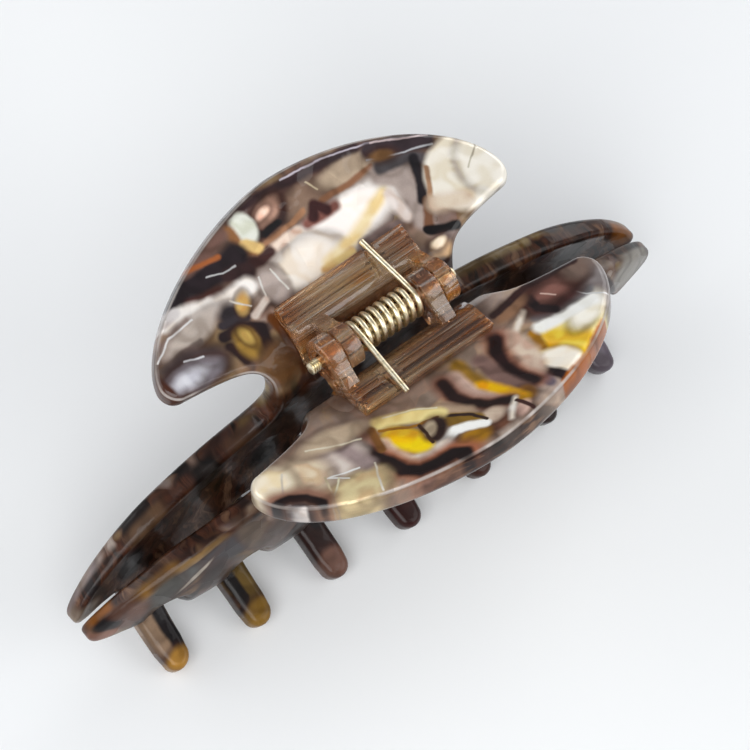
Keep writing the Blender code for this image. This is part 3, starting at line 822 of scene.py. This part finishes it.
REAR_TEETH = (
    (-41.4, -31, 1.8, 6.0, 0, (132, 112, 94), 0.6), (((-39.6, -25), (-39.4, -36)), 1.1, (28, 22, 24), 0.7),
    (-40.6, -38.5, 2.6, 2.0, 0, (150, 116, 62), 0.6), (-26.6, -32, 2.4, 8.0, 0, (96, 78, 42), 0.6),
    (((-28.4, -28), (-28.0, -38)), 0.9, (24, 17, 17), 0.6), (-27, -41, 2.6, 2.0, 0, (122, 96, 48), 0.5),
    (-13.5, -34, 3.0, 11, 0, (48, 30, 27), 0.5), (-12.8, -33, 1.2, 4.0, 0, (20, 14, 15), 0.6),
    (-13.5, -42, 2.4, 2.2, 0, (104, 78, 68), 0.5), (0, -36, 3.0, 12, 0, (58, 30, 27), 0.5),
    (13.5, -36, 3.0, 12, 0, (66, 42, 35), 0.5), (27, -34, 3.0, 10, 0, (46, 29, 26), 0.5),
    (39.3, -32, 3.0, 10, 0, (100, 92, 100), 0.5),
)
FRONT_JAW = (
    (31, -12.5, 5.0, 2.6, -10, (62, 58, 60), 0.5), (39, -13.5, 3.4, 2.6, -20, (80, 78, 76), 0.5),
    (26.5, -13, 2.0, 5.0, -30, (88, 74, 62), 0.6), (43, -12.5, 5.0, 0.9, -28, (142, 110, 58), 0.5),
    (36.5, -10.6, 5.0, 0.6, -14, (124, 102, 72), 0.6), (41, -15, 2.6, 3.6, 20, (68, 66, 62), 0.6),
    (46.5, -16, 2.6, 3.2, 20, (92, 68, 58), 0.6), (49.6, -17, 1.8, 1.4, 0, (32, 28, 30), 0.6),
    (50.6, -19.2, 2.6, 1.4, 0, (124, 92, 78), 0.5), (33.5, -17.0, 2.4, 3.0, 0, (42, 27, 24), 0.6),
    (23, -16, 2.4, 3.6, 0, (74, 58, 50), 0.6), (36.5, -14.2, 3.0, 0.4, -34, (150, 142, 132), 0.7),
    (-46, -16, 5.0, 3.4, 20, (128, 124, 118), 0.5), (-41, -15.5, 0.6, 4.0, -20, (42, 27, 24), 0.7),
)


def blobs(n, color, point, marks):
    """Lays soft-edged patches and veins over a colour."""
    where, waiting = point, 9
    for mark in marks:
        pieces = 1 if len(mark) == 7 else len(mark[0]) - 1
        waiting += pieces
        if waiting > 4:
            # ties the marks' order to the colours so far, which keeps the shader small
            where = n.vec("ADD", point, n.vec("SCALE", color, 1e-7))
            waiting = pieces
        if len(mark) == 7:
            x, s, long_half, wide_half, turn, tint, soft = mark
            reach = n.vec("LENGTH", n.local(where, x, s, turn, long_half, wide_half))
            rim = 1.0 + 0.5 * soft
            halo = n.math("MULTIPLY", n.step(reach, rim + 0.6 / wide_half, rim - 0.25), 0.5)
            color = n.mix(halo, color, srgb(66, 42, 34))
        else:
            points, half, tint, soft = mark
            reach = None
            for (x1, s1), (x2, s2) in zip(points, points[1:]):
                turn = math.degrees(math.atan2(s2 - s1, x2 - x1))
                place = n.local(where, (x1 + x2) / 2, (s1 + s2) / 2, turn, half, half)
                past = math.hypot(x2 - x1, s2 - s1) / 2 / half
                over = n.vec("SUBTRACT", n.vec("ABSOLUTE", place), (past, 0.0, 0.0))
                span = n.vec("LENGTH", n.vec("MAXIMUM", over, (0.0, 0.0, 0.0)))
                reach = span if reach is None else n.math("MINIMUM", reach, span)
        color = n.mix(n.step(reach, 1.0 + 0.5 * soft, 1.0 - 0.5 * soft), color, srgb(*tint))
    return color


def marble(n, point, offset, scale):
    """Pearl cells that flow into each other, each with a painted sheen across it, and dark veins along some
    of their edges.
    """
    moved = n.vec("ADD", point, offset)
    wide = n.vec("SUBTRACT", n.noise(moved, 0.075, 1.0, color=True), (0.5, 0.5, 0.5))
    tight = n.vec("SUBTRACT", n.noise(moved, 0.3, 1.0, color=True), (0.5, 0.5, 0.5))
    moved = n.vec("ADD", moved, n.vec("ADD", n.vec("SCALE", wide, 26.0), n.vec("SCALE", tight, 3.5)))
    moved = n.vec("MULTIPLY", moved, (0.75, 1.2, 1.0))
    cells = n.voronoi(moved, scale)
    pick = n.vec("DOT_PRODUCT", cells.outputs["Color"], (0.62, 0.38, 0.0))
    cloud = n.math("MULTIPLY_ADD", n.noise(moved, 0.16, 2.0), 0.5, -0.25)
    color = n.ramp(n.math("ADD", pick, cloud), (
        (0.0, UMBER), (0.16, BROWN), (0.26, srgb(60, 52, 54)), (0.36, srgb(116, 92, 44)),
        (0.46, srgb(168, 148, 108)), (0.58, srgb(146, 134, 134)), (0.7, srgb(178, 158, 138)),
        (0.82, srgb(190, 176, 168)), (1.0, srgb(232, 224, 212))))
    # each cell lightens towards one side: a painted pearly sheen
    across = n.vec("SUBTRACT", moved, cells.outputs["Position"])
    cell_sheen = n.vec("DOT_PRODUCT", across, (0.09, 0.05, 0.0))
    color = n.mix(n.math("ADD", cell_sheen, 0.25, clamp=True), color, (0.9, 0.9, 0.88), "SOFT_LIGHT")
    edge = n.voronoi(moved, scale, "DISTANCE_TO_EDGE").outputs["Distance"]
    width = n.math("MULTIPLY_ADD", n.noise(moved, 0.09, 1.0), 0.9, -0.4)
    gap = n.math("SUBTRACT", edge, width)
    color = n.mix(n.math("MULTIPLY", n.step(gap, 0.14, -0.02), 0.8), color, srgb(112, 76, 56))
    return n.mix(n.step(gap, 0.03, -0.06), color, srgb(24, 15, 15))


def acetate(name, offset, ground, wing_marks, jaw_marks, tooth_marks, inner_shade):
    """Polished marbled sheet: marks on the grips, jaws and teeth over a marble."""
    n = Nodes(name)
    sheet = n.add("ShaderNodeAttribute", attribute_name="sheet").outputs["Vector"]
    split = n.add("ShaderNodeSeparateXYZ")
    n.put(split.inputs[0], sheet)
    x, s, w = split.outputs
    soft = n.vec("SUBTRACT", n.noise(sheet, 0.28, 1.0, color=True), (0.5, 0.5, 0.5))
    fine = n.vec("SUBTRACT", n.noise(sheet, 0.9, 1.0, color=True), (0.5, 0.5, 0.5))
    point = n.vec("ADD", sheet, n.vec("SCALE", soft, 0.6))
    point = n.vec("ADD", point, n.vec("SCALE", fine, 0.2))
    point = n.vec("MULTIPLY", point, (1.0, 1.0, 0.0))

    body = marble(n, sheet, offset, 0.095)
    wing = blobs(n, n.mix(0.55, body, srgb(*ground)), point, wing_marks)
    # the sheet's edge is dark, with a pale line of light held in its rounded rim
    edge = n.noise(n.vec("MULTIPLY", sheet, (0.16, 0.16, 0.9)), 1.0, 3.0)
    gaps = n.math("MAXIMUM", n.step(n.noise(sheet, 0.07, 1.0), 0.36, 0.5), n.step(s, 12.0, 8.0))
    gaps = n.math("MULTIPLY", gaps, n.step(n.math("ABSOLUTE", x), 24.0, 17.0))
    gaps = n.math("MULTIPLY_ADD", gaps, 0.7, 0.18)
    wing = n.mix(n.math("MULTIPLY", n.step(w, 1.45, 1.05), gaps), wing, n.ramp(edge, (
        (0.35, srgb(20, 14, 15)), (0.5, srgb(52, 31, 25)),
        (0.6, srgb(118, 92, 72)), (0.72, srgb(70, 52, 46)))))
    shine = n.math("MULTIPLY", n.step(w, 1.0, 1.25), n.step(w, 1.62, 1.4))
    shine = n.math("MULTIPLY", shine, n.step(n.noise(sheet, 0.12, 1.0), 0.32, 0.55))
    wing = n.mix(n.math("MULTIPLY", shine, 0.75), wing, srgb(176, 170, 166))

    # the jaws' inside faces: the sheet's streaks, painted dark brown as the shade in the hollow between the
    # jaws
    long_way = n.vec("MULTIPLY", n.vec("ADD", point, n.vec("SCALE", soft, 3.0)), (0.42, 0.11, 0.2))
    streak = n.noise(long_way, 1.0, 3.0, 0.6)
    shaded_inner = n.ramp(streak, (
        (0.3, srgb(17, 11, 11)), (0.4, srgb(40, 25, 20)), (0.48, srgb(86, 56, 42)), (0.54, srgb(58, 34, 26)),
        (0.62, srgb(120, 94, 76)), (0.7, srgb(72, 46, 35)), (0.8, srgb(140, 118, 98))))
    shaded_inner = blobs(n, shaded_inner, point, SHADED_INNER_JAW_MARKS)
    outer = n.mix(0.5, body, srgb(48, 42, 40))
    outer = blobs(n, outer, point, jaw_marks)
    # the faces turned towards the other half take this painted shade
    side = n.step(w, -0.9, 0.3)
    jaw = n.mix(n.math("MULTIPLY", side, inner_shade), outer, shaded_inner)
    tooth = blobs(n, n.mix(0.6, body, UMBER), point, tooth_marks)
    jaw = n.mix(n.step(s, -22.0, -26.0), jaw, tooth)
    color = n.mix(n.step(s, 3.5, -1.0), wing, jaw)

    # faint mother-of-pearl folds, partly the pearl's own pattern and partly a painted pearly sheen, and a
    # little grain in the pearl
    fold = n.add("ShaderNodeTexWave", bands_direction="DIAGONAL")
    n.put(fold.inputs["Vector"], n.vec("ADD", point, n.vec("SCALE", soft, 9.0)))
    fold.inputs["Scale"].default_value = 0.075
    fold.inputs["Distortion"].default_value = 1.5
    fold.inputs["Detail"].default_value = 1.0
    fold.inputs["Detail Scale"].default_value = 0.3
    pearl_sheen = n.ramp(fold.outputs["Fac"], (
        (0.0, (0.38, 0.37, 0.36)), (0.45, (0.5, 0.5, 0.5)),
        (0.8, (0.57, 0.57, 0.57)), (1.0, (0.6, 0.6, 0.6))))
    color = n.mix(0.8, color, pearl_sheen, "OVERLAY")
    sparkle = n.noise(sheet, 5.0, 3.0, 0.7)
    grain = n.ramp(sparkle, ((0.3, (0.32, 0.32, 0.32)), (0.7, (0.7, 0.7, 0.7))))
    color = n.mix(0.12, color, grain, "OVERLAY")
    # deeper, slightly richer colours
    depth = n.add("ShaderNodeGamma")
    n.put(depth.inputs[0], color)
    depth.inputs[1].default_value = 1.2
    rich = n.add("ShaderNodeHueSaturation")
    rich.inputs["Saturation"].default_value = 1.03
    rich.inputs["Value"].default_value = 1.2
    n.put(rich.inputs["Color"], depth.outputs[0])
    color = rich.outputs[0]
    n.put(n.bsdf.inputs["Base Color"], color)

    # facets that tilt the pearl under a gently waved polish
    facet = n.voronoi(n.vec("ADD", point, (11.0, 3.0, 0.0)), 0.24)
    tilt = n.vec("DOT_PRODUCT", n.vec("SUBTRACT", facet.outputs["Color"], (0.5, 0.5, 0.5)), sheet)
    under = n.bump(tilt, 0.35, 0.0006)
    ripple = n.noise(sheet, 0.22, 1.5, 0.4)
    top = n.bump(ripple, 0.5, 0.0009)
    n.put(n.bsdf.inputs["Normal"], under)
    n.put(n.bsdf.inputs["Coat Normal"], top)
    bright = n.vec("DOT_PRODUCT", color, (0.3, 0.5, 0.2))
    n.put(n.bsdf.inputs["Metallic"], n.math("MULTIPLY", n.step(bright, 0.05, 0.5), 0.25))
    n.put(n.bsdf.inputs["Roughness"], n.math("MULTIPLY_ADD", n.noise(sheet, 1.3, 3.0), 0.16, 0.24))
    n.bsdf.inputs["Specular IOR Level"].default_value = 0.15
    n.put(n.bsdf.inputs["Coat Weight"], n.math("MULTIPLY_ADD", n.step(s, -2.0, 4.0), 0.35, 0.22))
    n.bsdf.inputs["Coat Roughness"].default_value = 0.04
    n.bsdf.inputs["Coat IOR"].default_value = 1.45
    return n.mat


def amber(name, seed):
    """Clear brown plastic: soft clouds, painted lines of bent light and shade, and a painted warm glow at its
    ends.
    """
    n = Nodes(name)
    place = n.add("ShaderNodeTexCoord").outputs["Object"]
    mm = n.vec("SCALE", place, 1 / MM)
    mm = n.vec("ADD", mm, seed)
    cloud = n.noise(n.vec("MULTIPLY", mm, (0.3, 1.0, 1.0)), 0.2, 1.5, 0.4, 0.2)
    color = n.ramp(cloud, (
        (0.34, srgb(148, 96, 64)), (0.44, srgb(204, 152, 110)), (0.51, srgb(236, 198, 154)),
        (0.57, srgb(244, 204, 146)), (0.63, srgb(238, 164, 76)), (0.72, srgb(246, 166, 62))))
    # a painted warm glow where light gathers towards the leaf's ends
    ends = n.add("ShaderNodeSeparateXYZ")
    n.put(ends.inputs[0], n.vec("ABSOLUTE", n.vec("SCALE", place, 1 / MM)))
    painted_end_glow = n.math("MULTIPLY", n.step(ends.outputs[0], 7.6, 11.4), n.step(n.noise(mm, 0.5, 2.0), 0.34, 0.6))
    color = n.mix(n.math("MULTIPLY", painted_end_glow, 0.8), color, srgb(232, 142, 48))
    # painted lines of light bent by the clear plastic: a dark line of shade and two pale highlights
    along = n.vec("MULTIPLY", mm, (0.012, 0.3, 0.3))
    wander = n.noise(along, 1.0, 0.0, 0.4)
    for level, width, tint in (
            (0.40, 0.034, srgb(58, 34, 26)), (0.46, 0.010, srgb(255, 246, 226)),
            (0.55, 0.020, srgb(255, 250, 242))):
        off = n.math("ABSOLUTE", n.math("SUBTRACT", wander, level))
        color = n.mix(n.math("MULTIPLY", n.step(off, width, width * 0.2), 0.75), color, tint)
    n.put(n.bsdf.inputs["Base Color"], color)
    n.bsdf.inputs["Transmission Weight"].default_value = 0.8
    n.bsdf.inputs["IOR"].default_value = 1.49
    n.put(n.bsdf.inputs["Roughness"], n.math("MULTIPLY_ADD", n.noise(mm, 2.0, 2.0), 0.08, 0.02))
    n.put(n.bsdf.inputs["Normal"], n.bump(n.noise(mm, 0.7, 2.0), 0.4, 0.0004))
    n.bsdf.inputs["Coat Weight"].default_value = 0.9
    n.bsdf.inputs["Coat Roughness"].default_value = 0.03
    return n.mat


def gold(name, seed):
    """Pale plated metal with a fine drawn grain."""
    n = Nodes(name)
    place = n.add("ShaderNodeTexCoord").outputs["Object"]
    mm = n.vec("ADD", n.vec("SCALE", place, 1 / MM), seed)
    tone = n.noise(mm, 1.2, 3.0)
    n.put(n.bsdf.inputs["Base Color"], n.ramp(tone, (
        (0.3, srgb(222, 202, 160)), (0.5, srgb(242, 230, 198)), (0.7, srgb(250, 244, 222)))))
    n.bsdf.inputs["Metallic"].default_value = 1.0
    n.put(n.bsdf.inputs["Roughness"], n.math("MULTIPLY_ADD", n.noise(mm, 4.0, 3.0), 0.2, 0.2))
    drawn = n.noise(n.vec("MULTIPLY", mm, (6.0, 2.0, 2.0)), 2.0, 3.0)
    n.put(n.bsdf.inputs["Normal"], n.bump(drawn, 0.15, 0.0001))
    return n.mat


def pale_floor(name):
    """Plain pale floor, very slightly uneven in tone."""
    n = Nodes(name)
    place = n.add("ShaderNodeTexCoord").outputs["Object"]
    tone = n.noise(place, 9.0, 2.0)
    n.put(n.bsdf.inputs["Base Color"], n.ramp(tone, ((0.3, srgb(236, 238, 240)), (0.7, srgb(241, 243, 244)))))
    n.bsdf.inputs["Roughness"].default_value = 0.85
    return n.mat


rear_mat = acetate("pearl_rear", (3.0, 5.0, 0.0), (124, 104, 94), REAR_WING, (), REAR_TEETH, 0.92)
front_mat = acetate("pearl_front", (41.0, -17.0, 0.0), (172, 154, 140), FRONT_WING, FRONT_JAW, (), 0.9)
amber_mat = amber("amber_leaf", (0.0, 0.0, 0.0))
amber_front_mat = amber("amber_leaf_front", (14.0, 3.0, 9.0))
gold_mat = gold("pale_gold", (0.0, 0.0, 0.0))

# ---------------------------------------------------------------- pieces
whole = [i * PITCH for i in range(-3, 4)]
teeth = whole[:-1] + [whole[-1] - LAST_TOOTH_IN]
between = [(i + 0.5) * PITCH for i in range(-3, 3)]

rear_half = sheet_half("rear_half_visual", rear_mat, teeth, REAR_POWER, REAR_SLOT_DROP, False)
front_half = sheet_half("front_half_visual", front_mat, between, FRONT_POWER, 0.0, True)
rear_leaf = hinge_leaf("rear_leaf_visual", amber_mat, False)
front_leaf = hinge_leaf("front_leaf_visual", amber_front_mat, True)
pin = hinge_pin(gold_mat)
spring = torsion_spring(gold_mat)

for piece, body, node, slot in (
        (rear_half, BODY_REAR, "rear_claw_half", "rear_acetate"),
        (front_half, BODY_FRONT, "front_claw_half", "front_acetate"),
        (rear_leaf, BODY_REAR, "rear_hinge_leaf", "rear_amber"),
        (front_leaf, BODY_FRONT, "front_hinge_leaf", "front_amber"),
        (pin, BODY_REAR, "hinge_pin", "pin_gold")):
    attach(piece, body)
    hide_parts(node)
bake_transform(spring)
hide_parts("torsion_spring")

# ---------------------------------------------------------------- floor, lights, camera
floor_mesh = bpy.data.meshes.new("floor")
bm = bmesh.new()
bmesh.ops.create_grid(bm, x_segments=1, y_segments=1, size=6.0)
bm.to_mesh(floor_mesh)
bm.free()
floor = added("floor", floor_mesh)
floor_mesh.materials.append(pale_floor("floor_pale"))

scene = bpy.context.scene
scene.view_settings.view_transform = "Standard"
world = bpy.data.worlds.new("studio")
scene.world = world
world.use_nodes = True
sky = world.node_tree
ray = sky.nodes.new("ShaderNodeTexCoord")
parts = sky.nodes.new("ShaderNodeSeparateXYZ")
fade = sky.nodes.new("ShaderNodeValToRGB")
fade.color_ramp.elements[0].position = 0.0
fade.color_ramp.elements[0].color = (0.20, 0.205, 0.215, 1.0)
fade.color_ramp.elements[1].position = 0.9
fade.color_ramp.elements[1].color = (0.30, 0.305, 0.315, 1.0)
sky.links.new(ray.outputs["Generated"], parts.inputs[0])
sky.links.new(parts.outputs["Z"], fade.inputs[0])
sky.links.new(fade.outputs[0], sky.nodes["Background"].inputs[0])
sky.nodes["Background"].inputs[1].default_value = 1.0


def area_light(name, place, target, size, power):
    """A soft rectangular light aimed at a point."""
    data = bpy.data.lights.new(name, "AREA")
    data.shape = "RECTANGLE"
    data.size, data.size_y = size
    data.energy = power
    obj = added(name, data)
    obj.location = place
    aim = Vector(target) - Vector(place)
    obj.rotation_euler = aim.to_track_quat("-Z", "Y").to_euler()


area_light("key", (-0.62, -0.42, 0.75), AXIS, (0.9, 0.7), 8.2)
area_light("fill", (0.55, -0.75, 0.60), AXIS, (0.8, 0.8), 4.2)
area_light("back", (-0.75, 0.75, 0.60), AXIS, (1.0, 0.5), 3.9)
area_light("side", (0.95, 0.25, 0.45), AXIS, (0.9, 0.5), 3.8)

azimuth, elevation, roll = (math.radians(v) for v in (-47.5, 60.0, -9.0))
distance = 553.0            # of the camera from the pin, mm
view_width = 102.31924      # what it sees across at the pin, mm
shift = (1.17, 7.64)        # the pin's place right of and above the middle, mm
sensor = 36.0
away = Vector((
    math.sin(azimuth) * math.cos(elevation),
    -math.cos(azimuth) * math.cos(elevation), math.sin(elevation)))
level = (-away).cross(Vector((0, 0, 1))).normalized()
upward = level.cross(-away)
right_axis = math.cos(roll) * level - math.sin(roll) * upward
up_axis = math.sin(roll) * level + math.cos(roll) * upward
camera_data = bpy.data.cameras.new("camera")
camera_data.sensor_width = sensor
camera_data.lens = sensor * distance / view_width
camera_data.clip_start = 0.01
camera = added("camera", camera_data)
turn = Matrix((right_axis, up_axis, away)).transposed().to_4x4()
turn.translation = AXIS + (away * distance - right_axis * shift[0] - up_axis * shift[1]) * MM
camera.matrix_world = turn
bpy.context.scene.camera = camera
